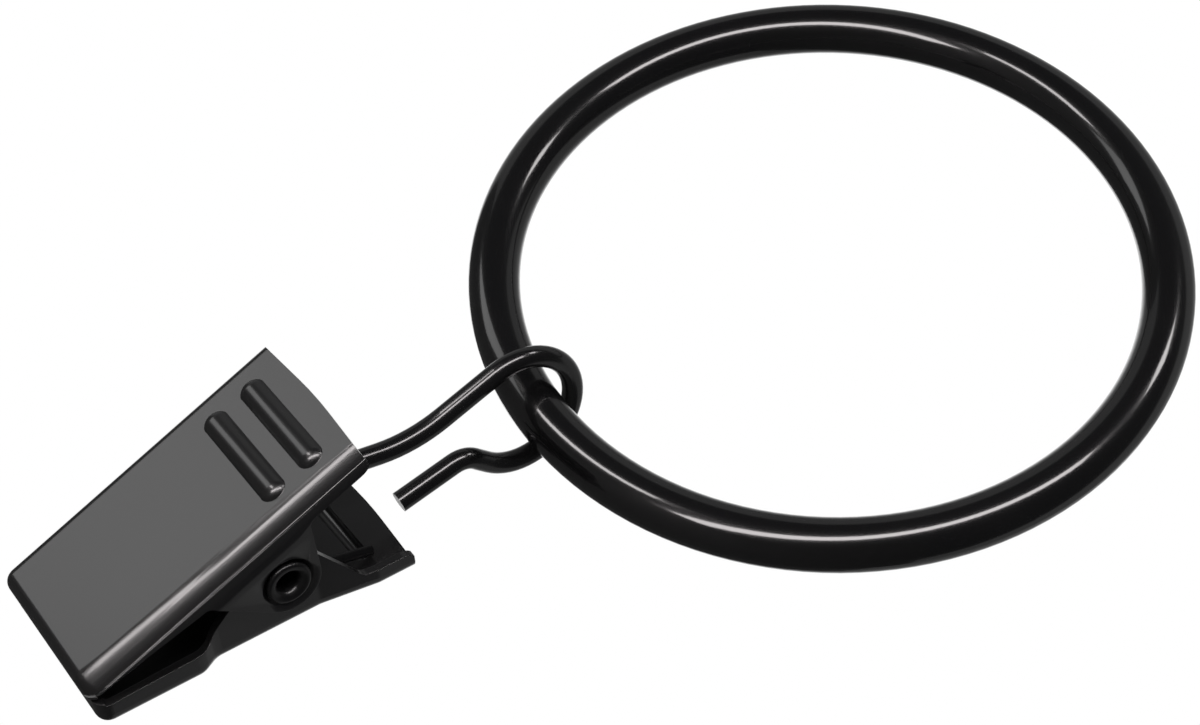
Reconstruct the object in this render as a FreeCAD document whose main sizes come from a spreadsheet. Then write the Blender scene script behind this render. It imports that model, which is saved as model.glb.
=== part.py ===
import FreeCAD, Part
import math
import os
import Sketcher

# Curtain ring with a sprung clip, drawn hanging from its rod.
# The ring stands in the XZ plane with its centre at the origin, the rod runs along Y, and Z is up.
# A wire hook hangs on the ring's lowest point and carries a two-jaw clip on its eye.

document = FreeCAD.newDocument("CurtainRing")
Vector = FreeCAD.Vector

# Driving dimensions, in millimetres and degrees
driving = [
    ("ring_bore", 38.0, "inside diameter of the ring"),
    ("ring_wire", 3.2, "diameter of the ring's wire"),
    ("hook_wire", 1.3, "diameter of the hook's wire"),
    ("loop_radius", 3.75, "centre-line radius of the loop round the ring"),
    ("loop_side", 0.15, "loop centre, sideways from the ring's wire"),
    ("loop_rest", 0.55, "play between the loop's crown and the ring's wire"),
    ("tail_bend_side", 1.9, "snap bend of the tail, sideways"),
    ("tail_bend_drop", 4.8, "snap bend of the tail, below the ring's wire"),
    ("tail_bend_radius", 1.6, "centre-line radius of the snap bend"),
    ("tail_end_side", 3.3, "cut end of the tail, sideways"),
    ("tail_end_drop", 9.35, "cut end of the tail, below the ring's wire"),
    ("shank_bend_side", 0.8, "bend of the shank, sideways"),
    ("shank_bend_drop", 8.2, "bend of the shank, below the ring's wire"),
    ("shank_bend_radius", 9.0, "centre-line radius of the shank's bend"),
    ("hook_length", 19.3, "ring's wire to the pivot"),
    ("eye_end_side", 0.15, "end of the eye's curl, sideways from the pivot"),
    ("hook_twist", 9.7, "turn of the hook about the vertical"),
    ("hook_lean", 5.5, "lean of the hook in the ring's plane"),
    ("hook_swing", 7.9, "swing of the hook out of the ring's plane"),
    ("clip_swing", 15.9, "turn of the clip on the hook's eye"),
    ("clip_side", 0.2, "how far the clip has slid along its rivet from the eye's middle"),
    ("jaw_spread", 11.1, "each jaw's slope from the clip's middle when shut"),
    ("sheet", 0.5, "thickness of the jaws' sheet"),
    ("jaw_width", 11.7, "width across a jaw"),
    ("web_height", 3.84, "pivot to the outside of a jaw's web"),
    ("tip_reach", 12.1, "pivot to a jaw's tip"),
    ("handle_reach", 7.6, "pivot to the corners of a jaw's handle"),
    ("handle_bow", 0.3, "how far the handle's edge bows out"),
    ("bow_radius", 30.0, "radius of the bow at the handle's middle"),
    ("fold_radius", 0.85, "outside radius of the side folds"),
    ("lip_radius", 0.8, "outside radius of the lip's fold"),
    ("lip_gap", 0.1, "gap between the two lips when shut"),
    ("lip_offset", 0.35, "how far from the clip's middle the lips meet, towards the outer jaw's web"),
    ("outer_tip_flange", 0.92, "outer jaw: depth of the side flange beside the lip"),
    ("outer_root_flange", 1.3, "outer jaw: depth of the side flange beside the ear"),
    ("outer_handle_flange", 1.3, "outer jaw: depth of the side flange along the handle"),
    ("outer_root_tip", 4.0, "outer jaw: ear's root on the tip side"),
    ("outer_root_handle", 3.1, "outer jaw: ear's root on the handle side"),
    ("inner_tip_flange", 1.62, "inner jaw: depth of the side flange beside the lip"),
    ("inner_root_flange", 1.85, "inner jaw: depth of the side flange beside the ear"),
    ("inner_handle_flange", 1.45, "inner jaw: depth of the side flange along the handle"),
    ("inner_root_tip", 5.2, "inner jaw: ear's root on the tip side"),
    ("inner_root_handle", 4.4, "inner jaw: ear's root on the handle side"),
    ("flange_corner", 1.0, "corner of the flange at the handle's end"),
    ("ear_radius", 2.0, "radius of the ears round the pivot"),
    ("root_radius", 0.6, "fillet at the ears' roots"),
    ("nest_gap", 0.1, "gap between the outer and the inner ears"),
    ("waist_tip_end", 5.75, "where the inner jaw's waist ends, towards the tip"),
    ("waist_tip_start", 4.7, "where it is fully narrowed, towards the tip"),
    ("waist_handle_start", 1.8, "where it is fully narrowed, towards the handle"),
    ("waist_handle_end", 5.3, "where the waist ends, towards the handle"),
    ("waist_radius", 1.2, "radius of the waist's bends, seen flat"),
    ("rib_first", 5.45, "pivot to the rib nearest the handle's edge"),
    ("rib_second", 2.75, "pivot to the other rib"),
    ("rib_length", 8.4, "length of the pressed ribs"),
    ("rib_radius", 0.95, "radius of the ribs' back"),
    ("rib_sink", 0.5, "depth of the ribs' axis below the web's outside"),
    ("dish_radius", 1.65, "rim radius of the dish round the rivet"),
    ("dish_depth", 0.25, "depth of the dish"),
    ("rivet_radius", 1.0, "outside radius of the tubular rivet"),
    ("rivet_wall", 0.33, "wall of the rivet's tube"),
    ("rivet_head", 1.36, "radius of the rivet's rolled heads"),
    ("rivet_roll", 0.2, "radius of the heads' rolled rim"),
    ("running_gap", 0.05, "radial play of the inner jaw on the rivet"),
    ("eye_gap", 0.1, "radial play of the eye and the coils on the rivet"),
    ("spring_wire", 0.6, "diameter of the spring's wire"),
    ("bead_swell", 1.01, "how far the beads where the legs leave the coils swell over the wire"),
    ("coil_turns", 3, "whole turns in each coil"),
    ("coil_pitch", 0.72, "pitch of the coils"),
    ("coil_side_gap", 0.3, "gap between the eye and the coils"),
    ("leg_reach", 5.3, "pivot to the end of the spring's legs, along the clip"),
    ("leg_seat_gap", 0.08, "gap between the legs and the jaws' insides"),
    ("bridge_radius", 0.8, "centre-line radius of the bends beside the spring's bridge"),
]

# Sizes that follow from the driving ones
derived = [
    ("ring_radius", "=(ring_bore + ring_wire) / 2"),
    ("loop_drop", "=loop_radius - (ring_wire + hook_wire) / 2 - loop_rest"),
    ("eye_radius", "=rivet_radius + eye_gap + hook_wire / 2"),
    ("half_width", "=jaw_width / 2"),
    ("waist_half", "=half_width - sheet - nest_gap"),
    ("inner_lip_end", "=tip_reach * tan(jaw_spread * 1deg) + lip_gap / 2 - lip_offset"),
    ("outer_lip_end", "=inner_lip_end + 2 * lip_offset"),
    ("web_inside", "=web_height - sheet"),
    ("coil_radius", "=rivet_radius + eye_gap + spring_wire / 2"),
    ("coil_start", "=hook_wire / 2 + coil_side_gap + spring_wire / 2"),
    ("spring_bead", "=bead_swell * spring_wire / 2"),
    ("leg_side", "=(web_inside - spring_wire / 2 - leg_seat_gap) / cos(jaw_spread * 1deg)"
                 " + leg_reach * tan(jaw_spread * 1deg)"),
]


def write_sheet():
    sheet = document.addObject("Spreadsheet::Sheet", "sizes")
    row = 0
    for alias, value, note in driving:
        row += 1
        sheet.set(f"A{row}", note)
        sheet.set(f"B{row}", str(value))
        sheet.setAlias(f"B{row}", alias)
    for alias, formula in derived:
        row += 1
        sheet.set(f"A{row}", alias.replace("_", " "))
        sheet.set(f"B{row}", formula)
        sheet.setAlias(f"B{row}", alias)
    document.recompute()
    return sheet


sizes = write_sheet()


def size(expression):
    # the number that an expression gives with the sheet's present values
    value = sizes.evalExpression(expression)
    return float(getattr(value, "Value", value))


# Sketching

def origin_plane(body, role):
    for feature in body.Origin.OriginFeatures:
        if feature.Role == role:
            return feature
    raise ValueError(role)


def new_body(name):
    body = document.addObject("PartDesign::Body", name)
    body.Label = name
    return body


def new_sketch(body, name, role, lift=None, shift=None):
    # lift moves the sketch along its plane's normal, shift along its second axis
    sketch = body.newObject("Sketcher::SketchObject", name)
    sketch.AttachmentSupport = [(origin_plane(body, role), "")]
    sketch.MapMode = "FlatFace"
    if lift:
        sketch.setExpression("AttachmentOffset.Base.z", lift)
    if shift:
        sketch.setExpression("AttachmentOffset.Base.y", shift)
    return sketch


def fix(sketch, name, constraint, expression=None):
    index = sketch.addConstraint(constraint)
    if expression is not None:
        sketch.renameConstraint(index, name)
        sketch.setExpression("Constraints." + name, expression)


def fix_point(sketch, name, geometry, place, across, up):
    for axis, expression in (("DistanceX", across), ("DistanceY", up)):
        constraint = Sketcher.Constraint(axis, -1, 1, geometry, place, size(expression))
        fix(sketch, name + axis[-1], constraint, expression)


def corner(across, up, radius=None):
    # a point of an outline, sharp or rounded by the radius
    return {"kind": "corner", "across": across, "up": up, "radius": radius}


def hub(across, up, radius, turn, end_across=None):
    # a circle with its centre given, which the outline wraps: turn is +1 anticlockwise or -1 clockwise
    return {"kind": "hub", "across": across, "up": up, "radius": radius, "turn": turn, "end": end_across}


def heading_between(one, two):
    # direction of the straight run that touches both items, each taken on its own side
    reach = two["point"] - one["point"]
    side = (two["offset"] - one["offset"]) / reach.Length
    return math.atan2(reach.y, reach.x) - math.asin(side)


def unit(angle):
    return Vector(math.cos(angle), math.sin(angle), 0)


def left_of(direction):
    return Vector(-direction.y, direction.x, 0)


def circle_arc(centre, radius, start, end, turn):
    # an arc from start to end that turns +1 anticlockwise or -1 clockwise round the centre
    first = math.atan2(start.y - centre.y, start.x - centre.x)
    last = math.atan2(end.y - centre.y, end.x - centre.x)
    if turn < 0:
        first, last = last, first
    circle = Part.Circle(centre, Vector(0, 0, 1), radius)
    return Part.ArcOfCircle(circle, first, last if last > first else last + 2 * math.pi)


def trace(sketch, items, closed=True):
    # draws straight runs through the items, joined by tangent arcs, and fixes them by the sheet's sizes
    count = len(items)
    prefix = "run" + str(sketch.GeometryCount) + "item"
    for item in items:
        item["point"] = Vector(size(item["across"]), size(item["up"]), 0)
        hub_radius = size(item["radius"]) if item["kind"] == "hub" else 0
        item["offset"] = item.get("turn", 0) * hub_radius
    runs = count if closed else count - 1
    headings = [heading_between(items[i], items[(i + 1) % count]) for i in range(runs)]
    for i, item in enumerate(items):
        before = headings[i - 1] if closed or i > 0 else None
        after = headings[i] if i < runs else None
        item["entry"] = item["exit"] = item["point"]
        if item["kind"] == "hub":
            item["centre"] = item["point"]
            item["entry"] = item["point"] - left_of(unit(before)) * item["offset"]
            if item["end"]:
                across = size(item["end"]) - item["point"].x
                up = math.sqrt(size(item["radius"]) ** 2 - across ** 2)
                item["exit"] = item["point"] + Vector(across, up, 0)
            else:
                item["exit"] = item["point"] - left_of(unit(after)) * item["offset"]
        elif item["radius"]:
            turned = math.remainder(after - before, 2 * math.pi)
            item["turn"] = 1 if turned > 0 else -1
            cut = size(item["radius"]) * math.tan(abs(turned) / 2)
            item["entry"] = item["point"] - unit(before) * cut
            item["exit"] = item["point"] + unit(after) * cut
            item["centre"] = item["entry"] + left_of(unit(before)) * (item["turn"] * size(item["radius"]))
    lines = []
    for i in range(runs):
        start, end = items[i]["exit"], items[(i + 1) % count]["entry"]
        lines.append(sketch.addGeometry(Part.LineSegment(start, end), False))
    for i, item in enumerate(items):
        name = prefix + str(i)
        line_in = lines[i - 1] if closed or i > 0 else None
        line_out = lines[i] if i < runs else None
        if item["radius"]:
            radius = size(item["radius"])
            shape = circle_arc(item["centre"], radius, item["entry"], item["exit"], item["turn"])
            arc = sketch.addGeometry(shape, False)
            start, end = (1, 2) if item["turn"] > 0 else (2, 1)
            fix(sketch, name, Sketcher.Constraint("Tangent", line_in, 2, arc, start))
            if line_out is not None:
                fix(sketch, name, Sketcher.Constraint("Tangent", arc, end, line_out, 1))
            fix(sketch, name + "R", Sketcher.Constraint("Radius", arc, radius), item["radius"])
        if item["kind"] == "hub":
            fix_point(sketch, name, arc, 3, item["across"], item["up"])
            if item["end"]:
                stop = Sketcher.Constraint("DistanceX", -1, 1, arc, end, size(item["end"]))
                fix(sketch, name + "End", stop, item["end"])
            continue
        mark = sketch.addGeometry(Part.Point(item["point"]), True)
        fix_point(sketch, name, mark, 1, item["across"], item["up"])
        for line, place in ((line_in, 2), (line_out, 1)):
            if line is None:
                continue
            if item["radius"]:
                fix(sketch, name, Sketcher.Constraint("PointOnObject", mark, 1, line))
            else:
                fix(sketch, name, Sketcher.Constraint("Coincident", line, place, mark, 1))


def draw_circle(sketch, across, up, radius, name="circle"):
    centre = Vector(size(across), size(up), 0)
    circle = sketch.addGeometry(Part.Circle(centre, Vector(0, 0, 1), size(radius)), False)
    fix_point(sketch, name, circle, 3, across, up)
    fix(sketch, name + "R", Sketcher.Constraint("Radius", circle, size(radius)), radius)


# Features

def pad(body, sketch, length):
    feature = body.newObject("PartDesign::Pad", sketch.Name + "Pad")
    feature.Profile = sketch
    feature.SideType = "Symmetric"
    feature.setExpression("Length", length)
    document.recompute()
    return feature


def pocket(body, sketch, length):
    # a cut to both sides of the sketch, length long in all
    feature = body.newObject("PartDesign::Pocket", sketch.Name + "Pocket")
    feature.Profile = sketch
    feature.SideType = "Symmetric"
    feature.setExpression("Length", length)
    document.recompute()
    return feature


def turn(body, sketch, kind, axis):
    # a Revolution or a Groove, a full turn about one of the sketch's own axes
    feature = body.newObject("PartDesign::" + kind, sketch.Name + kind)
    feature.Profile = sketch
    feature.ReferenceAxis = (sketch, [axis])
    feature.Angle = 360
    document.recompute()
    return feature


def mirror(body, features, role):
    feature = body.newObject("PartDesign::Mirrored", features[0].Name + "Mirrored")
    feature.Originals = features
    feature.MirrorPlane = (origin_plane(body, role), [""])
    body.Tip = feature
    document.recompute()
    return feature


def fillet(body, base, chosen, radius, name):
    # rounds the edges of the base for which chosen(edge) is true
    edges = [f"Edge{i + 1}" for i, edge in enumerate(base.Shape.Edges) if chosen(edge)]
    feature = body.newObject("PartDesign::Fillet", name)
    feature.Base = (base, edges)
    feature.setExpression("Radius", radius)
    document.recompute()
    return feature


# The ring: one length of round wire, closed by a flush weld

def make_ring():
    body = new_body("ring")
    section = new_sketch(body, "ring_section", "XY_Plane")
    draw_circle(section, "sizes.ring_radius", "0", "sizes.ring_wire / 2")
    turn(body, section, "Revolution", "V_Axis")
    return body


# The hook: a snap tail, a loop round the ring, a bent shank and an eye curled round the rivet

def make_hook():
    body = new_body("hook")
    path = new_sketch(body, "hook_path", "YZ_Plane")
    trace(path, [
        corner("sizes.tail_end_side", "-sizes.tail_end_drop"),
        corner("sizes.tail_bend_side", "-sizes.tail_bend_drop", "sizes.tail_bend_radius"),
        hub("sizes.loop_side", "-sizes.loop_drop", "sizes.loop_radius", 1),
        corner("-sizes.shank_bend_side", "-sizes.shank_bend_drop", "sizes.shank_bend_radius"),
        hub("0", "-sizes.hook_length", "sizes.eye_radius", 1, "sizes.eye_end_side"),
    ], closed=False)
    document.recompute()
    section = body.newObject("Sketcher::SketchObject", "hook_section")
    section.AttachmentSupport = [(path, "Edge1")]
    section.MapMode = "NormalToEdge"
    draw_circle(section, "0", "0", "sizes.hook_wire / 2")
    document.recompute()
    sweep = body.newObject("PartDesign::AdditivePipe", "hook_sweep")
    sweep.Profile = section
    sweep.Spine = path
    document.recompute()
    return body


# The jaws: each folded from one sheet, with a web, two side flanges that carry ears, and a lip

def side_outline(sketch, side, which):
    # the jaw's blank seen from its side: side is -1 for a web on -Y and +1 for one on +Y
    web = f"{side} * sizes.web_height"
    lip = f"{side} * sizes.{which}_lip_end"
    beside_ear = f"{side} * (sizes.web_height - sizes.{which}_root_flange)"
    along_handle = f"{side} * (sizes.web_height - sizes.{which}_handle_flange)"
    trace(sketch, [
        corner(web, "sizes.handle_reach + sizes.handle_bow"),
        corner(web, "-sizes.tip_reach", "sizes.lip_radius"),
        corner(lip, "-sizes.tip_reach"),
        corner(lip, "-(sizes.tip_reach - 2 * sizes.fold_radius)"),
        corner(beside_ear, f"-sizes.{which}_root_tip", "sizes.root_radius"),
        hub("0", "0", "sizes.ear_radius", -side),
        corner(along_handle, f"sizes.{which}_root_handle", "sizes.root_radius"),
        corner(along_handle, "sizes.handle_reach + sizes.handle_bow", "sizes.flange_corner"),
    ])


def lip_notch(sketch, side, which):
    # what is cut away between the lip and the side flanges
    lip_inside = "-(sizes.tip_reach - sizes.sheet)"
    past = f"{side} * (sizes.{which}_lip_end - sizes.sheet)"
    trace(sketch, [
        corner(past, lip_inside),
        corner(f"{side} * (sizes.web_height - sizes.{which}_tip_flange)", lip_inside),
        corner(f"{side} * (sizes.web_height - sizes.{which}_root_flange)", f"-sizes.{which}_root_tip"),
        corner(past, "-(sizes.tip_reach - 3 * sizes.fold_radius)"),
    ])


def plan_outline(sketch, inset, waisted, hollow):
    # the jaw seen square to its web: its outside, or the hollow that runs out at the handle's end
    half = f"(sizes.half_width - {inset})"
    narrow = f"(sizes.waist_half - {inset})"
    far = "sizes.handle_reach" + (" + sizes.web_height" if hollow else "")
    right = [corner(half, f"-(sizes.tip_reach - {inset})", "sizes.sheet" if hollow else None)]
    if waisted:
        right += [
            corner(half, "-sizes.waist_tip_end", "sizes.waist_radius"),
            corner(narrow, "-sizes.waist_tip_start", "sizes.waist_radius"),
            corner(narrow, "sizes.waist_handle_start", "sizes.waist_radius"),
            corner(half, "sizes.waist_handle_end", "sizes.waist_radius"),
        ]
    right.append(corner(half, far))
    left = []
    for item in reversed(right):
        left.append(corner("-" + item["across"], item["up"], item["radius"]))
    middle = [] if hollow else [corner("0", "sizes.handle_reach + sizes.handle_bow", "sizes.bow_radius")]
    trace(sketch, right + middle + left)


def frame_outline(sketch):
    # a rectangle well outside the jaw, so that a pocket leaves only what lies inside a second outline
    margin = "(sizes.half_width + sizes.web_height)"
    below = "-(sizes.tip_reach + sizes.web_height)"
    above = "sizes.handle_reach + sizes.web_height"
    trace(sketch, [
        corner(margin, below),
        corner(margin, above),
        corner("-" + margin, above),
        corner("-" + margin, below),
    ])


def lies_at(low, high, level):
    # true where a box's two limits are both at the level
    touch = 1e-4
    return abs(low - level) < touch and abs(high - level) < touch


def on_fold(side):
    # the outside edges between the web or the lip and the side flanges
    def chosen(edge):
        box = edge.BoundBox
        outer = min(abs(box.XMin), abs(box.XMax)) > size("sizes.waist_half - sizes.sheet")
        on_web = lies_at(box.YMin, box.YMax, side * size("sizes.web_height"))
        along_web = on_web and box.ZLength > size("sizes.sheet")
        round_lip = box.XLength < size("sizes.sheet") and box.YLength > size("sizes.lip_gap")
        at_tip = lies_at(box.ZMin, box.ZMin, -size("sizes.tip_reach"))
        return outer and (along_web or (round_lip and at_tip))
    return chosen


def on_inner_fold(side):
    # the hollow's edges all round its floor, but not across the open end
    def chosen(edge):
        box = edge.BoundBox
        on_floor = lies_at(box.YMin, box.YMax, side * size("sizes.web_inside"))
        return on_floor and box.ZMin < size("sizes.handle_reach - sizes.sheet")
    return chosen


def rib_form(body, name, kind, side, along, inset):
    # a capsule lying across the web, added for the rib's back or cut for its hollow
    sketch = new_sketch(body, name, "XY_Plane", along, f"{side} * (sizes.web_height - sizes.rib_sink)")
    end = f"(sizes.rib_length / 2 - {inset})"
    back = f"(sizes.rib_radius - {inset})"
    rounding = f"0.9 * {back}"
    trace(sketch, [
        corner(end, "0"),
        corner(end, back, rounding),
        corner("-" + end, back, rounding),
        corner("-" + end, "0"),
    ])
    return turn(body, sketch, kind, "H_Axis")


def press_dish(body, name, face):
    # a shallow dish round the rivet: a boss on the inside, then the same form cut into the outside
    middle = f"{face} - sizes.sheet / 2"
    inside = f"{face} - sizes.sheet"
    floor = "sizes.dish_radius - sizes.dish_depth"
    boss = new_sketch(body, name + "_boss", "XY_Plane")
    trace(boss, [
        corner(middle, "0"),
        corner(middle, "sizes.dish_radius"),
        corner(inside, "sizes.dish_radius"),
        corner(f"{inside} - sizes.dish_depth", floor),
        corner(f"{inside} - sizes.dish_depth", "0"),
    ])
    raised = turn(body, boss, "Revolution", "H_Axis")
    hollow = new_sketch(body, name + "_hollow", "XY_Plane")
    trace(hollow, [
        corner(f"{face} + sizes.dish_depth", "0"),
        corner(f"{face} + sizes.dish_depth", "sizes.dish_radius"),
        corner(face, "sizes.dish_radius"),
        corner(f"{face} - sizes.dish_depth", floor),
        corner(f"{face} - sizes.dish_depth", "0"),
    ])
    cut = turn(body, hollow, "Groove", "H_Axis")
    return mirror(body, [raised, cut], "YZ_Plane")


def make_jaw(which, side, waisted, ear_face, bore):
    name = which + "_jaw"
    body = new_body(name)
    ribs = {"first": "sizes.rib_first", "second": "sizes.rib_second"}
    profile = new_sketch(body, name + "_side", "YZ_Plane")
    side_outline(profile, side, which)
    pad(body, profile, "sizes.jaw_width + 2 * sizes.sheet")
    plan = new_sketch(body, name + "_plan", "XZ_Plane")
    frame_outline(plan)
    plan_outline(plan, "0", waisted, False)
    blank = pocket(body, plan, "4 * sizes.web_height")
    fillet(body, blank, on_fold(side), "sizes.fold_radius", name + "_fold")
    for rib, along in ribs.items():
        rib_form(body, f"{name}_rib_{rib}_back", "Revolution", side, along, "0")
    hollow = new_sketch(body, name + "_hollow", "XZ_Plane")
    plan_outline(hollow, "sizes.sheet", waisted, True)
    channel = pocket(body, hollow, "2 * sizes.web_inside")
    fillet(body, channel, on_inner_fold(side), "sizes.fold_radius - sizes.sheet", name + "_inner_fold")
    notch = new_sketch(body, name + "_notch", "YZ_Plane")
    lip_notch(notch, side, which)
    pocket(body, notch, "2 * sizes.jaw_width")
    for rib, along in ribs.items():
        rib_form(body, f"{name}_rib_{rib}_hollow", "Groove", side, along, "sizes.sheet")
    press_dish(body, name + "_dish", ear_face)
    hole = new_sketch(body, name + "_hole", "YZ_Plane")
    draw_circle(hole, "0", "0", bore)
    pocket(body, hole, "2 * sizes.jaw_width")
    return body


# The rivet: a short tube with both ends rolled over in the dishes

def make_rivet():
    body = new_body("pivot_rivet")
    section = new_sketch(body, "rivet_section", "XY_Plane")
    floor = "(sizes.half_width - sizes.dish_depth)"
    crest = f"({floor} + 2 * sizes.rivet_roll)"
    bore = "(sizes.rivet_radius - sizes.rivet_wall)"
    flare = f"(sizes.rivet_head - sizes.rivet_roll - {bore})"
    half = [
        corner(floor, "sizes.rivet_radius"),
        corner(floor, "sizes.rivet_head", "0.95 * sizes.rivet_roll"),
        corner(crest, "sizes.rivet_head", "0.95 * sizes.rivet_roll"),
        corner(crest, bore, f"0.98 * {flare}"),
    ]
    other = [corner("-" + item["across"], item["up"], item["radius"]) for item in reversed(half)]
    trace(section, half + other)
    turn(body, section, "Revolution", "H_Axis")
    return body


# The spring: two coils on the rivet, their inner legs joined by a bridge under one handle

def clip_point(across, angle, radius):
    # a point of the clip by its place along the rivet and its polar place: 0 degrees lies along the handles
    return Vector(across, -radius * math.sin(angle), radius * math.cos(angle))


def wire_along(edges):
    # round wire swept along a path of edges that follow one another
    path = Part.Wire(edges)
    first = path.OrderedEdges[0]
    start, ahead = first.valueAt(first.FirstParameter), first.tangentAt(first.FirstParameter)
    section = Part.Wire([Part.makeCircle(size("sizes.spring_wire / 2"), start, ahead)])
    return path.makePipeShell([section], True, True)


def coil(start_angle, swept):
    # one coil, wound outwards along the rivet from its inner end
    pitch = size("sizes.coil_pitch")
    helix = Part.makeHelix(pitch, pitch * swept / (2 * math.pi), size("sizes.coil_radius"))
    outwards = Vector(1, 0, 0)
    start = clip_point(0, start_angle, 1)
    turned = FreeCAD.Rotation(start, outwards.cross(start), outwards, "XZY")
    helix.Placement = FreeCAD.Placement(outwards * size("sizes.coil_start"), turned)
    return wire_along(helix.Edges)


def make_spring():
    reach, side = size("sizes.leg_reach"), size("sizes.leg_side")
    radius, wire, bead = size("sizes.coil_radius"), size("sizes.spring_wire / 2"), size("sizes.spring_bead")
    slope, distance = math.atan2(side, reach), math.hypot(side, reach)
    leaves = slope + math.acos(radius / distance)
    swept = 2 * math.pi * size("sizes.coil_turns") + 2 * (math.pi - leaves)
    inner = size("sizes.coil_start")
    outer = inner + size("sizes.coil_pitch") * swept / (2 * math.pi)
    bend = size("sizes.bridge_radius")
    across = Vector(1, 0, 0)
    root = clip_point(inner, leaves, radius)
    crown = clip_point(inner, slope, distance)
    along = (crown - root).normalize()
    before, after = crown - along * bend, crown - across * bend
    middle = before - across * bend + (across + along).normalize() * bend
    mirrored = Vector(-1, 1, 1)

    def other_side(point):
        return Vector(point.x * mirrored.x, point.y * mirrored.y, point.z * mirrored.z)

    bridge = wire_along([
        Part.LineSegment(root, before).toShape(),
        Part.Arc(before, middle, after).toShape(),
        Part.LineSegment(after, other_side(after)).toShape(),
        Part.Arc(other_side(after), other_side(middle), other_side(before)).toShape(),
        Part.LineSegment(other_side(before), other_side(root)).toShape(),
    ])
    foot = clip_point(outer, -leaves, radius)
    end = clip_point(outer, -slope, distance)
    half = [
        coil(leaves, swept),
        Part.makeSphere(bead, root),
        Part.makeSphere(bead, foot),
        Part.makeCylinder(wire, (end - foot).Length, foot, end - foot),
    ]
    halves = half + [shape.mirror(Vector(), across) for shape in half]
    spring = document.addObject("Part::Feature", "spring")
    spring.Label = "spring"
    spring.Shape = bridge.multiFuse(halves)
    return spring


# Where each piece hangs, from the ring's lowest point downwards

def moved(distance):
    return FreeCAD.Placement(Vector(0, 0, -size(distance)), FreeCAD.Rotation())


def turned(axis, angle):
    return FreeCAD.Placement(Vector(), FreeCAD.Rotation(axis, size(angle)))


def hang(pieces):
    along_x, along_y, along_z = Vector(1, 0, 0), Vector(0, 1, 0), Vector(0, 0, 1)
    hook = moved("sizes.ring_radius") * turned(along_z, "-sizes.hook_twist")
    hook = hook * turned(along_y, "-sizes.hook_lean") * turned(along_x, "-sizes.hook_swing")
    slid = FreeCAD.Placement(along_x * -size("sizes.clip_side"), FreeCAD.Rotation())
    clip = hook * moved("sizes.hook_length") * turned(along_x, "sizes.clip_swing") * slid
    pieces["hook"].Placement = hook
    pieces["pivot_rivet"].Placement = clip
    pieces["spring"].Placement = clip
    pieces["outer_jaw"].Placement = clip * turned(along_x, "sizes.jaw_spread")
    pieces["inner_jaw"].Placement = clip * turned(along_x, "-sizes.jaw_spread")


def check(pieces):
    for item in document.Objects:
        if "Invalid" in item.State or "Error" in item.State:
            raise RuntimeError(item.Name + " failed: " + item.getStatusString())
    for name, piece in pieces.items():
        if piece.Shape.isNull() or not piece.Shape.isValid() or len(piece.Shape.Solids) != 1:
            raise RuntimeError(name + " is not one valid solid")


def export(pieces):
    os.makedirs("parts", exist_ok=True)
    for name, piece in pieces.items():
        piece.Shape.exportStep(os.path.join("parts", name + ".step"))
        print(name, round(piece.Shape.Volume, 2), "mm3")


running_bore = "sizes.rivet_radius + sizes.running_gap"
pieces = {
    "ring": make_ring(),
    "hook": make_hook(),
    "outer_jaw": make_jaw("outer", -1, False, "sizes.half_width", "sizes.rivet_radius"),
    "inner_jaw": make_jaw("inner", 1, True, "sizes.waist_half", running_bore),
    "pivot_rivet": make_rivet(),
    "spring": make_spring(),
}
hang(pieces)
document.recompute()
check(pieces)
export(pieces)
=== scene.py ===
import bmesh
import bpy
import math
import numpy as np
from mathutils import Matrix, Vector


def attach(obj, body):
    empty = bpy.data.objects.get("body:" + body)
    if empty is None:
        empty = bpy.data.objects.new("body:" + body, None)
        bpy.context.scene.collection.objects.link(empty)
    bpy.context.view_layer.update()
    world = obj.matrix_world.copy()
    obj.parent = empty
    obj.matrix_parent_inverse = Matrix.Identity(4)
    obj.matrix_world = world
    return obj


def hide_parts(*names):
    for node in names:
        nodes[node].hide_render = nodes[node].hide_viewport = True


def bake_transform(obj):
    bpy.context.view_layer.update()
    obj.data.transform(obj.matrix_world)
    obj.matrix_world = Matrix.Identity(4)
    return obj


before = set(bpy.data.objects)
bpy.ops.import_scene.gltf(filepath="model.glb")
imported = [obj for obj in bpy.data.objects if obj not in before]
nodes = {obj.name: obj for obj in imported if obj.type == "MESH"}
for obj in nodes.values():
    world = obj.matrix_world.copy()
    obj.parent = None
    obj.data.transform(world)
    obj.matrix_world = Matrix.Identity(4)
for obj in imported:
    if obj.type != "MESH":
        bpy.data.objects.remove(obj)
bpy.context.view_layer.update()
millimetre = 0.001


# camera: the ring's centre, its distance and the angles of its plane, as the photo shows them

cameraView = {
    "image": (1200, 725),      # pixels
    "focal": 2600,             # pixels
    "sensor": 36,              # millimetres across the image
    "ringAt": (828.6, 266.5),  # pixel of the ring's centre
    "distance": 0.15986,       # metres to the ring's centre, along the view
    "tilt": 51.94,             # degrees between the view and the ring's plane
    "turn": 205.68,            # degrees round the ring to its lowest point
    "roll": -3.88,             # degrees of the whole picture
}


def turned(axis, degrees):
    return np.array(Matrix.Rotation(math.radians(degrees), 3, axis))


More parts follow.
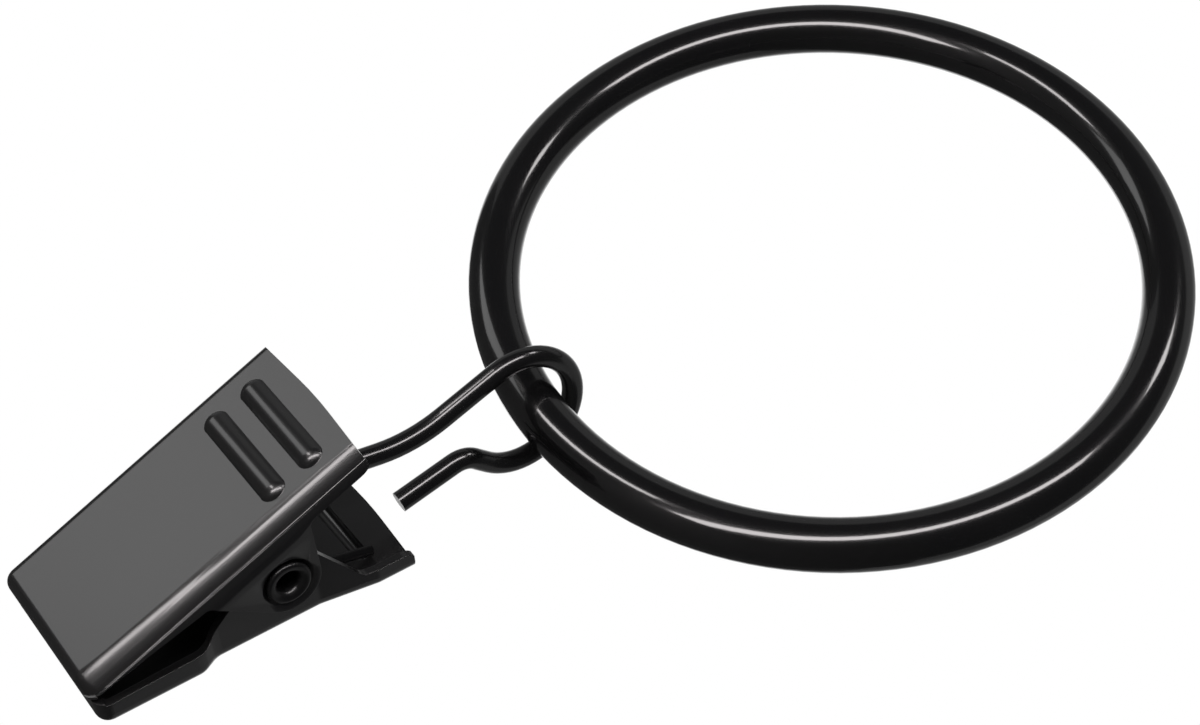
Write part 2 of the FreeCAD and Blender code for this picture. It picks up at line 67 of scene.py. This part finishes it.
def makeCamera(view):
    # the ring's plane is tilted away from the view, then rolled with the picture: x right, y down, z ahead
    tilt, turn = math.radians(view["tilt"]), math.radians(view["turn"])
    across = np.array([1, 0, 0])
    away = np.array([0, -math.sin(tilt), math.cos(tilt)])
    normal = np.array([0, -math.cos(tilt), -math.sin(tilt)])
    down = math.cos(turn) * across + math.sin(turn) * away
    side = -math.sin(turn) * across + math.cos(turn) * away
    worldToView = turned("Z", view["roll"]) @ np.stack([side, -normal, -down], axis=1)
    width, height = view["image"]
    offset = (np.array(view["ringAt"]) - np.array([width, height]) / 2) / view["focal"]
    centre = np.array([offset[0], offset[1], 1]) * view["distance"]
    data = bpy.data.cameras.new("photoCamera")
    data.sensor_width = view["sensor"]
    data.lens = view["sensor"] * view["focal"] / width
    data.clip_start, data.clip_end = 0.005, 10
    camera = bpy.data.objects.new("photoCamera", data)
    bpy.context.scene.collection.objects.link(camera)
    place = np.eye(4)
    place[:3, :3] = worldToView.T @ np.diag([1, -1, -1])
    place[:3, 3] = -worldToView.T @ centre
    camera.matrix_world = Matrix(place.tolist())
    bpy.context.scene.camera = camera
    return place


cameraPlace = makeCamera(cameraView)
print("camera placed")


# node helpers

def addNode(tree, kind, **values):
    node = tree.nodes.new(kind)
    for name, value in values.items():
        setattr(node, name, value)
    return node


def newGroup(name, inputs, outputs):
    # inputs and outputs are (name, socket type, value) and (name, socket type)
    group = bpy.data.node_groups.new(name, "ShaderNodeTree")
    for label, kind, value in inputs:
        group.interface.new_socket(name=label, in_out="INPUT", socket_type=kind).default_value = value
    for label, kind in outputs:
        group.interface.new_socket(name=label, in_out="OUTPUT", socket_type=kind)
    return group, group.nodes.new("NodeGroupInput"), group.nodes.new("NodeGroupOutput")


def stretch(tree, value, low, high, **settings):
    # low to high becomes 0 to 1, and nothing lies outside that
    node = addNode(tree, "ShaderNodeMapRange", **settings)
    node.inputs["From Min"].default_value = low
    node.inputs["From Max"].default_value = high
    tree.links.new(value, node.inputs["Value"])
    return node.outputs["Result"]


def blend(tree, factor, one, two, kind="RGBA"):
    # from one to two, each a plain colour or number
    mix = addNode(tree, "ShaderNodeMix", data_type=kind)
    tree.links.new(factor, mix.inputs["Factor"])
    index = 6 if kind == "RGBA" else 2      # where a Mix node keeps the colours, or the numbers
    mix.inputs[index].default_value = one
    mix.inputs[index + 1].default_value = two
    return mix.outputs[2 if kind == "RGBA" else 0]


# shared effects of the coating

peelShape = {
    "detail": 2,            # how many finer waves ride on the broad ones
    "roughness": 0.45,      # and how strong they are
}
marksShape = {
    "cloudDetail": 5,
    "cloud": (0.45, 0.75),  # the part of the noise that becomes a soft mark
    "cloudShare": 0.25,     # strength of the soft marks beside the specks
    "speckScale": 2600,     # specks per metre
    "speck": (0.12, 0.02),  # from their edge to their middle
}


def makeOrangePeel(shape):
    # the faint waviness of a baked coating, as a height from 0 to 1
    group, come, go = newGroup("orangePeel", [("Scale", "NodeSocketFloat", 900.0)], [("Height", "NodeSocketFloat")])
    place = addNode(group, "ShaderNodeTexCoord")
    broad = addNode(group, "ShaderNodeTexNoise")
    broad.inputs["Detail"].default_value = shape["detail"]
    broad.inputs["Roughness"].default_value = shape["roughness"]
    group.links.new(place.outputs["Object"], broad.inputs["Vector"])
    group.links.new(come.outputs["Scale"], broad.inputs["Scale"])
    group.links.new(broad.outputs["Fac"], go.inputs["Height"])
    return group


def makeHandling(shape):
    # fine dust and faint wiping marks: a mask that lightens and dulls the gloss
    group, come, go = newGroup(
        "handling",
        [("Amount", "NodeSocketFloat", 0.5), ("Scale", "NodeSocketFloat", 260.0)],
        [("Mask", "NodeSocketFloat")])
    link = group.links.new
    place = addNode(group, "ShaderNodeTexCoord")
    cloud = addNode(group, "ShaderNodeTexNoise")
    cloud.inputs["Detail"].default_value = shape["cloudDetail"]
    link(place.outputs["Object"], cloud.inputs["Vector"])
    link(come.outputs["Scale"], cloud.inputs["Scale"])
    speck = addNode(group, "ShaderNodeTexVoronoi")
    speck.inputs["Scale"].default_value = shape["speckScale"]
    link(place.outputs["Object"], speck.inputs["Vector"])
    soft = stretch(group, cloud.outputs["Fac"], *shape["cloud"])
    dusty = addNode(group, "ShaderNodeMath", operation="MULTIPLY")
    link(stretch(group, speck.outputs["Distance"], *shape["speck"]), dusty.inputs[0])
    link(soft, dusty.inputs[1])
    both = addNode(group, "ShaderNodeMath", operation="MULTIPLY_ADD")
    both.inputs[1].default_value = shape["cloudShare"]
    link(soft, both.inputs[0])
    link(dusty.outputs["Value"], both.inputs[2])
    scaled = addNode(group, "ShaderNodeMath", operation="MULTIPLY", use_clamp=True)
    link(both.outputs["Value"], scaled.inputs[0])
    link(come.outputs["Amount"], scaled.inputs[1])
    link(scaled.outputs["Value"], go.inputs["Mask"])
    return group


orangePeel = makeOrangePeel(peelShape)
handling = makeHandling(marksShape)


# materials

coating = {
    "peelDepth": 0.05,          # millimetres
    "index": 1.5,               # how strongly it bends light
    "edgeSamples": 8,
    "edgeFrom": (0.93, 0.84),   # agreement of the rounded and the real normal, from none of the first to all of it
}


def roundedEdges(tree, radius):
    # the coating rounds the sheet's cut edges: the rounded normal is used only where it leaves the real one
    rounded = addNode(tree, "ShaderNodeBevel", samples=coating["edgeSamples"])
    rounded.inputs["Radius"].default_value = radius
    flat = addNode(tree, "ShaderNodeNewGeometry")
    same = addNode(tree, "ShaderNodeVectorMath", operation="DOT_PRODUCT")
    tree.links.new(rounded.outputs["Normal"], same.inputs[0])
    tree.links.new(flat.outputs["Normal"], same.inputs[1])
    mix = addNode(tree, "ShaderNodeMix", data_type="VECTOR")
    tree.links.new(stretch(tree, same.outputs["Value"], *coating["edgeFrom"]), mix.inputs["Factor"])
    tree.links.new(flat.outputs["Normal"], mix.inputs[4])
    tree.links.new(rounded.outputs["Normal"], mix.inputs[5])
    unit = addNode(tree, "ShaderNodeVectorMath", operation="NORMALIZE")
    tree.links.new(mix.outputs[1], unit.inputs[0])
    return unit.outputs["Vector"]


def coatedMetal(name, look):
    # gloss black baked coating over steel
    material = bpy.data.materials.new(name)
    material.use_nodes = True
    tree = material.node_tree
    shader = tree.nodes["Principled BSDF"]
    peel = addNode(tree, "ShaderNodeGroup", node_tree=orangePeel)
    peel.inputs["Scale"].default_value = look["peelScale"]
    bump = addNode(tree, "ShaderNodeBump")
    bump.inputs["Strength"].default_value = look["peelStrength"]
    bump.inputs["Distance"].default_value = coating["peelDepth"] * millimetre
    tree.links.new(peel.outputs["Height"], bump.inputs["Height"])
    marks = addNode(tree, "ShaderNodeGroup", node_tree=handling)
    marks.inputs["Amount"].default_value = look["dust"]
    colour = blend(tree, marks.outputs["Mask"], look["black"], look["dusty"])
    rough = blend(tree, marks.outputs["Mask"], look["gloss"], look["dull"], "FLOAT")
    tree.links.new(colour, shader.inputs["Base Color"])
    tree.links.new(rough, shader.inputs["Roughness"])
    if look["edge"]:
        tree.links.new(roundedEdges(tree, look["edge"] * millimetre), bump.inputs["Normal"])
    tree.links.new(bump.outputs["Normal"], shader.inputs["Normal"])
    shader.inputs["Metallic"].default_value = 0
    shader.inputs["IOR"].default_value = coating["index"]
    shader.inputs["Specular IOR Level"].default_value = look["specular"]
    shader.inputs["Coat Weight"].default_value = look["coat"]
    shader.inputs["Coat Roughness"].default_value = look["coatGloss"]
    shader.inputs["Coat IOR"].default_value = coating["index"]
    return material


ringLook = {
    "black": (0.003, 0.003, 0.0032, 1),
    "dusty": (0.012, 0.012, 0.0125, 1),     # where dust and wiping marks lie
    "gloss": 0.2,           # roughness under the coat
    "dull": 0.3,            # and under a mark
    "specular": 0.5,
    "coat": 0.9,
    "coatGloss": 0.06,      # the coat's roughness
    "peelScale": 900,       # waves per metre
    "peelStrength": 0.06,
    "dust": 0.25,
    "edge": 0,              # millimetres that the coating rounds a cut edge by
}
hookLook = dict(ringLook, gloss=0.24, coatGloss=0.1, peelStrength=0.025, dust=0.08)
jawLook = dict(
    ringLook, gloss=0.3, specular=0.95, coat=0.5, coatGloss=0.12,
    peelScale=500, peelStrength=0.04, dust=0.2, edge=0.09)
rivetLook = dict(ringLook, gloss=0.34, specular=0.35, coat=0.35, coatGloss=0.16, peelScale=700)
springLook = dict(ringLook, gloss=0.38, specular=0.15, coat=0.0, dust=0.3)


def dress(piece, material):
    piece.data.materials.clear()
    piece.data.materials.append(material)


dress(nodes["ring"], coatedMetal("ringBlack", ringLook))
dress(nodes["hook"], coatedMetal("hookBlack", hookLook))
jawBlack = coatedMetal("jawBlack", jawLook)
dress(nodes["inner_jaw"], jawBlack)
dress(nodes["pivot_rivet"], coatedMetal("rivetBlack", rivetLook))
springBlack = coatedMetal("springBlack", springLook)
print("materials made")


# the clip's place, for the two pieces that replace CAD nodes

clipPlace = {
    "ringRadius": 20.6,     # millimetres, the middle line of the ring's wire
    "hookTurns": (("Z", -9.7), ("Y", -5.5), ("X", -7.9)),   # degrees, as the hook hangs
    "hookDrop": 19.3,       # millimetres from the ring's wire to the rivet
    "slide": -0.2,          # millimetres along the rivet
    "clipTurn": 15.9,       # degrees on the hook's eye
    "jawSlope": 11.1,       # degrees from the clip's middle to the outer jaw
    "merge": 0.0005,        # millimetres between points that are one
}


def clipFrame(place, slope):
    # its axes run along the rivet, across the clip and towards the hook, and its origin is the rivet's middle
    turn = np.eye(3)
    for axis, degrees in place["hookTurns"]:
        turn = turn @ turned(axis, degrees)
    rivet = turn @ np.array([place["slide"], 0, -place["hookDrop"]]) - np.array([0, 0, place["ringRadius"]])
    return turn @ turned("X", place["clipTurn"]) @ turned("X", slope), rivet


def mergedCopy(name):
    mesh = nodes[name].data.copy()
    form = bmesh.new()
    form.from_mesh(mesh)
    bmesh.ops.remove_doubles(form, verts=form.verts, dist=clipPlace["merge"] * millimetre)
    return mesh, form


def addPiece(name, mesh, sharp):
    # smooth, but for edges sharper than so many degrees
    mesh.polygons.foreach_set("use_smooth", np.ones(len(mesh.polygons), bool))
    mesh.update()
    mesh.set_sharp_from_angle(angle=math.radians(sharp))
    piece = bpy.data.objects.new(name, mesh)
    bpy.context.scene.collection.objects.link(piece)
    return piece


def readArray(items, key, width, kind=float):
    values = np.empty(len(items) * width, kind)
    items.foreach_get(key, values)
    return values.reshape(-1, width) if width > 1 else values


# outer jaw: the fold on the rivet's side is rolled softer than the CAD's, most of all towards the tip

outerFold = {
    "side": 1,              # along the rivet, 1 or -1
    "webHeight": 3.84,      # millimetres from the rivet to the outside of the sheet
    "halfWidth": 5.85,
    "along": (-12.1, 7.6),  # the tip and the handle's end
    "radius": (1.95, 1.15), # the soft fold there
    "crisp": 1.33,          # 2 is a round fold, 1 a flat bevel
    "tight": 0.85,          # the CAD's own fold
    "flangeAt": (-12.1, -4.0, -3.9),    # along the jaw
    "flange": (0.9, 1.28, 9),           # how deep it is there, which the roll doesn't push past
    "lip": 0.9,             # millimetres that the lip's own fold takes up
    "cutStart": 0.1,        # millimetres from the edge to the first of the cuts that let the flat sheet bend
    "cutStep": 0.16,
    "cutMerge": 0.0002,
    "sharp": 35,            # degrees
    "agree": 0.9,           # how far a face has to agree with the exact normal to take it
    "offFold": 0.02,        # millimetres a point may lie off the exact fold to be one of its own
    "offWeb": 0.005,
    "offLevel": 0.01,
}


def cutForRoll(form, shape, turn, rivet):
    # planes along the web's edge and along the flange
    def cut(axis, at):
        bmesh.ops.bisect_plane(
            form, geom=form.verts[:] + form.edges[:] + form.faces[:], dist=shape["cutMerge"] * millimetre,
            plane_co=Vector((rivet + turn[:, axis] * at) * millimetre), plane_no=Vector(turn[:, axis]))

    for inward in np.arange(0, max(shape["radius"]), shape["cutStep"]) + shape["cutStart"]:
        cut(0, shape["side"] * (shape["halfWidth"] - inward))
        cut(1, inward - shape["webHeight"])


def rollFold(shape, local):
    # square corner to soft: a point keeps its greater distance from the roll's axis, now measured as the root
    # of the two distances' powers added up, and keeps the ratio of the two; inside the CAD's own fold the
    # greater distance is the one to that fold's axis. With the points come their exact normals, and which
    # points lie on the outside of the web and the folds
    x, y, z = local.T
    side, power = shape["side"], shape["crisp"]
    depth = y + shape["webHeight"]
    radius = np.interp(z, shape["along"], shape["radius"])
    past, under = side * x - shape["halfWidth"] + radius, radius - depth
    spare = radius - shape["tight"]
    tight = (past > spare) & (under > spare)
    reach = np.where(tight, spare + np.hypot(past - spare, under - spare), np.maximum(past, under))
    rolled = (past > 0) & (under > 0)
    tiny = 1e-9     # keeps the line below from dividing by nothing
    share = np.stack([past, under]).clip(0) + tiny
    share = share / (share ** power).sum(axis=0) ** (1 / power)
    x = np.where(rolled, side * (reach * share[0] - radius + shape["halfWidth"]), x)
    deepest = np.maximum(np.interp(z, shape["flangeAt"], shape["flange"]), depth)
    depth = np.where(rolled, np.minimum(radius - reach * share[1], deepest), depth)
    # the other side's fold is a plain arc
    farPast, farUnder = -side * x - shape["halfWidth"] + shape["tight"], shape["tight"] - depth
    farFold = (farPast > 0) & (farUnder > -shape["offLevel"])
    out = np.where(rolled, side * share[0] ** (power - 1), np.where(farFold, -side * farPast, 0))
    up = np.where(rolled, share[1] ** (power - 1), np.where(farFold, farUnder.clip(0), 1))
    normal = np.stack([out, -up, np.zeros_like(out)], axis=1)
    normal = normal / np.linalg.norm(normal, axis=1)[:, None]
    onFar = np.abs(np.hypot(farPast, farUnder) - shape["tight"]) < shape["offFold"]
    onShell = np.where(rolled, np.abs(reach - radius) < shape["offFold"],
                       np.where(farFold, onFar, np.abs(depth) < shape["offWeb"]))
    onShell = onShell & (z > shape["along"][0] + shape["lip"])
    return np.stack([x, depth - shape["webHeight"], z], axis=1), normal, onShell


def makeOuterJaw(shape, material):
    turn, rivet = clipFrame(clipPlace, clipPlace["jawSlope"])
    mesh, form = mergedCopy("outer_jaw")
    cutForRoll(form, shape, turn, rivet)
    form.to_mesh(mesh)
    form.free()
    local = (readArray(mesh.vertices, "co", 3) / millimetre - rivet) @ turn
    local, exact, onShell = rollFold(shape, local)
    mesh.vertices.foreach_set("co", ((local @ turn.T + rivet) * millimetre).ravel())
    piece = addPiece("outer_jaw_rolled", mesh, shape["sharp"])
    piece.modifiers.new("weighted", "WEIGHTED_NORMAL").keep_sharp = True
    shown = piece.evaluated_get(bpy.context.evaluated_depsgraph_get())
    mesh = bpy.data.meshes.new_from_object(shown)
    piece.modifiers.clear()
    piece.data = mesh
    # outside the ribs and edges, the exact normal replaces the one worked out from the faces
    corners = readArray(mesh.loops, "vertex_index", 1, int)
    exact = exact[corners] @ turn.T
    flat = np.repeat(readArray(mesh.polygons, "normal", 3), readArray(mesh.polygons, "loop_total", 1, int), axis=0)
    normals = readArray(mesh.corner_normals, "vector", 3)
    chosen = onShell[corners] & ((flat * exact).sum(axis=1) > shape["agree"])
    normals[chosen] = exact[chosen]
    mesh.normals_split_custom_set(normals.tolist())
    dress(piece, material)
    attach(piece, "outer_jaw_body")
    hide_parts("outer_jaw")
    print("outer jaw made,", len(mesh.polygons), "faces")


makeOuterJaw(outerFold, jawBlack)


# spring: a merged, smooth-shaded copy of the CAD's spring, left where it stands

springBend = {
    "from": -1.9,   # millimetres across the clip from the rivet, where the outer jaw's part ends
    "to": 1.9,      # and where the inner jaw's part starts
    "sharp": 50,    # degrees
}


def makeSpring(shape, material):
    mesh, form = mergedCopy("spring")
    form.to_mesh(mesh)
    form.free()
    piece = addPiece("spring_wound", mesh, shape["sharp"])
    dress(piece, material)
    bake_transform(piece)
    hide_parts("spring")
    print("spring made,", len(mesh.polygons), "faces")


makeSpring(springBend, springBlack)


# studio

studio = {
    "softboxes": {
        # at is the centre in metres, upright the direction of its length, radiance what a reflection of it shows
        "webBox": {"at": (-0.229, -0.162, -0.152), "upright": (0, 0, 1), "size": (0.14, 0.12), "radiance": 1.22,
                   "colour": (1, 1, 1), "reflected": True},
        "frontStrip": {"at": (0.0475, -0.2, -0.015), "upright": (0.05, 0, 1), "size": (0.045, 0.29), "radiance": 9,
                       "colour": (1, 0.95, 0.955), "reflected": True},
        "lowStrip": {"at": (-0.078, -0.2, -0.085), "upright": (1, 0, 0.5), "size": (0.036, 0.09), "radiance": 8,
                     "colour": (1, 0.96, 0.96), "reflected": True},
        "highStrip": {"at": (0.002, -0.2, 0.222), "upright": (1, 0, 0.3), "size": (0.045, 0.06), "radiance": 8,
                      "colour": (1, 0.97, 0.97), "reflected": True},
        "overheadBox": {"at": (-0.15, -0.25, 0.6), "upright": (0, 1, 0), "size": (0.5, 0.5), "radiance": 2.0,
                        "colour": (1, 1, 1), "reflected": False},
    },
    "aim": (0.0, 0.0, -0.02),
    "backdrop": (-0.55, 0.8, 0.25),      # direction of the white backdrop, behind the ring as the photo sees it
    "dim": (0.035, 0.035, 0.037, 1),     # the unlit room, as reflections show it
    # how near a direction is to the backdrop's, where 1 is straight at it, and how bright the room is there
    "wall": ((0.06, 0.05), (0.12, 0.22), (0.5, 0.15), (0.8, 0.25)),
    "white": 0.97,                       # how near it is where the backdrop turns white
    "fill": 0.35,                        # soft light from all round, on what isn't glossy
}


def addSoftbox(name, box):
    data = bpy.data.lights.new(name, "AREA")
    data.shape = "RECTANGLE"
    data.size, data.size_y = box["size"]
    data.energy = box["radiance"] * math.pi * data.size * data.size_y
    data.color = box["colour"]
    lamp = bpy.data.objects.new(name, data)
    bpy.context.scene.collection.objects.link(lamp)
    lamp.visible_camera = False
    lamp.visible_glossy = box["reflected"]
    away = (Vector(box["at"]) - Vector(studio["aim"])).normalized()
    across = Vector(box["upright"]).cross(away).normalized()
    turn = Matrix((across, away.cross(across), away)).transposed()
    lamp.matrix_world = Matrix.Translation(box["at"]) @ turn.to_4x4()
    return lamp


for name, box in studio["softboxes"].items():
    addSoftbox(name, box)


def makeWorld():
    # white to the camera; reflections see a white backdrop behind the ring and a dim room elsewhere
    world = bpy.data.worlds.new("studioWorld")
    world.use_nodes = True
    bpy.context.scene.world = world
    tree = world.node_tree
    link = tree.links.new
    background = tree.nodes["Background"]
    path = addNode(tree, "ShaderNodeLightPath")
    sky = addNode(tree, "ShaderNodeTexCoord")
    facing = addNode(tree, "ShaderNodeVectorMath", operation="DOT_PRODUCT")
    facing.inputs[1].default_value = Vector(studio["backdrop"]).normalized()
    link(sky.outputs["Generated"], facing.inputs[0])
    ramp = addNode(tree, "ShaderNodeValToRGB")
    link(facing.outputs["Value"], ramp.inputs["Fac"])
    stops = ramp.color_ramp.elements
    stops[0].position, stops[0].color = 0.0, studio["dim"]
    stops[1].position, stops[1].color = studio["white"], (1, 1, 1, 1)
    for place, level in studio["wall"]:
        stops.new(place).color = (level, level, level, 1)
    shiny = addNode(tree, "ShaderNodeMath", operation="ADD", use_clamp=True)
    link(path.outputs["Is Glossy Ray"], shiny.inputs[0])
    link(path.outputs["Is Transmission Ray"], shiny.inputs[1])
    soft = addNode(tree, "ShaderNodeMix", data_type="RGBA")
    link(shiny.outputs["Value"], soft.inputs["Factor"])
    soft.inputs[6].default_value = (studio["fill"], studio["fill"], studio["fill"], 1)
    link(ramp.outputs["Color"], soft.inputs[7])
    seen = addNode(tree, "ShaderNodeMix", data_type="RGBA")
    link(path.outputs["Is Camera Ray"], seen.inputs["Factor"])
    link(soft.outputs[2], seen.inputs[6])
    seen.inputs[7].default_value = (1, 1, 1, 1)
    link(seen.outputs[2], background.inputs["Color"])


floorLook = {
    "level": -0.2,       # metres, below the hanging clip
    "half": 2.0,         # metres to its edges
    "lines": 9,          # along each side of its grid
    "pale": (0.82, 0.82, 0.82, 1),
    "reflected": (0.1, 0.1, 0.1, 1),   # as the dark coating shows it, beyond the pool of light
    "fadeFrom": 0.35,    # painted shade: the floor's colour as glossy reflections see it, darker than its lit colour, so the dark coating reflects a dim room beyond the pool of light
    "fadeTo": 1.3,
    "roughness": 0.9,
    "specular": 0.1,
}


def makeFloor(look):
    # a flat square: height constant, x and y running over the grid
    steps = np.linspace(-look["half"], look["half"], look["lines"])
    across, along = np.meshgrid(steps, steps, indexing="ij")
    points = np.stack([across, along, np.full_like(across, look["level"])], axis=-1).reshape(-1, 3)
    count = len(steps)
    corner = (np.arange(count - 1)[:, None] * count + np.arange(count - 1)[None, :]).ravel()
    faces = np.stack([corner, corner + count, corner + count + 1, corner + 1], axis=-1)
    mesh = bpy.data.meshes.new("floor")
    mesh.from_pydata(points.tolist(), [], faces.tolist())
    floor = bpy.data.objects.new("floor", mesh)
    bpy.context.scene.collection.objects.link(floor)
    material = bpy.data.materials.new("floorPale")
    material.use_nodes = True
    tree = material.node_tree
    link = tree.links.new
    shader = tree.nodes["Principled BSDF"]
    path = addNode(tree, "ShaderNodeLightPath")
    # painted shade: glossy rays see the floor in its dark reflected colour, other rays in its pale one
    paleOrPaintedShade = blend(tree, path.outputs["Is Glossy Ray"], look["pale"], look["reflected"])
    link(paleOrPaintedShade, shader.inputs["Base Color"])
    shader.inputs["Roughness"].default_value = look["roughness"]
    shader.inputs["Specular IOR Level"].default_value = look["specular"]
    place = addNode(tree, "ShaderNodeTexCoord")
    reach = addNode(tree, "ShaderNodeVectorMath", operation="LENGTH")
    link(place.outputs["Object"], reach.inputs[0])
    fade = stretch(tree, reach.outputs["Value"], look["fadeFrom"], look["fadeTo"], interpolation_type="SMOOTHSTEP")
    seen = addNode(tree, "ShaderNodeMath", operation="MULTIPLY")
    link(fade, seen.inputs[0])
    link(path.outputs["Is Camera Ray"], seen.inputs[1])
    white = addNode(tree, "ShaderNodeEmission")
    white.inputs["Color"].default_value = (1, 1, 1, 1)
    mix = addNode(tree, "ShaderNodeMixShader")
    link(seen.outputs["Value"], mix.inputs["Fac"])
    link(shader.outputs["BSDF"], mix.inputs[1])
    link(white.outputs["Emission"], mix.inputs[2])
    link(mix.outputs["Shader"], tree.nodes["Material Output"].inputs["Surface"])
    dress(floor, material)


makeWorld()
makeFloor(floorLook)
bpy.context.scene.view_settings.view_transform = "Standard"
print("studio made")
